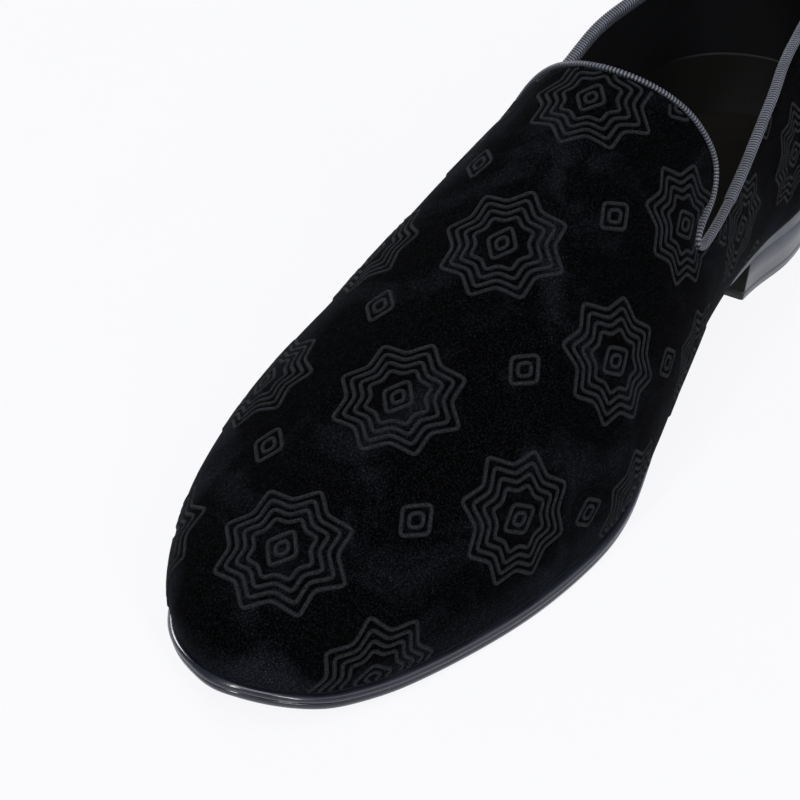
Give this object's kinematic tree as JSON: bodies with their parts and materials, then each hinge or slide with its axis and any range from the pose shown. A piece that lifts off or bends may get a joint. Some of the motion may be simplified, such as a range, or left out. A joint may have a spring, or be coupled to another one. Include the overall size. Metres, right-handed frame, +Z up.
{
  "type": "velvet slipper loafer",
  "caption": "Left velvet slipper loafer with a ribbon-bound collar, a raised tongue, a thin two-tier sole and a low stacked heel, standing empty.",
  "frame": {"origin": "on the floor, in the middle of the flat underside of the heel's top lift", "axes": "+Y to the toe along the shoe, +X to the inner side of the foot, +Z up"},
  "size_m": [0.0923, 0.2908, 0.0946],
  "materials": {
    "velvet": "black cotton velvet with thread embroidery, short dense pile",
    "ribbon": "ribbed grosgrain ribbon, grey black, slight sheen",
    "lining_leather": "smooth black lining leather, satin",
    "sole_edge": "waxed and burnished black sole leather",
    "heel_stack": "dark stacked leather, painted, satin",
    "heel_lift": "moulded black rubber, matt"
  },
  "bodies": {
    "root": {"upper": "velvet", "topline_binding": "ribbon", "insole": "lining_leather", "outsole": "sole_edge", "heel_block": "heel_stack", "heel_top_lift": "heel_lift"}
  },
  "joints": []
}
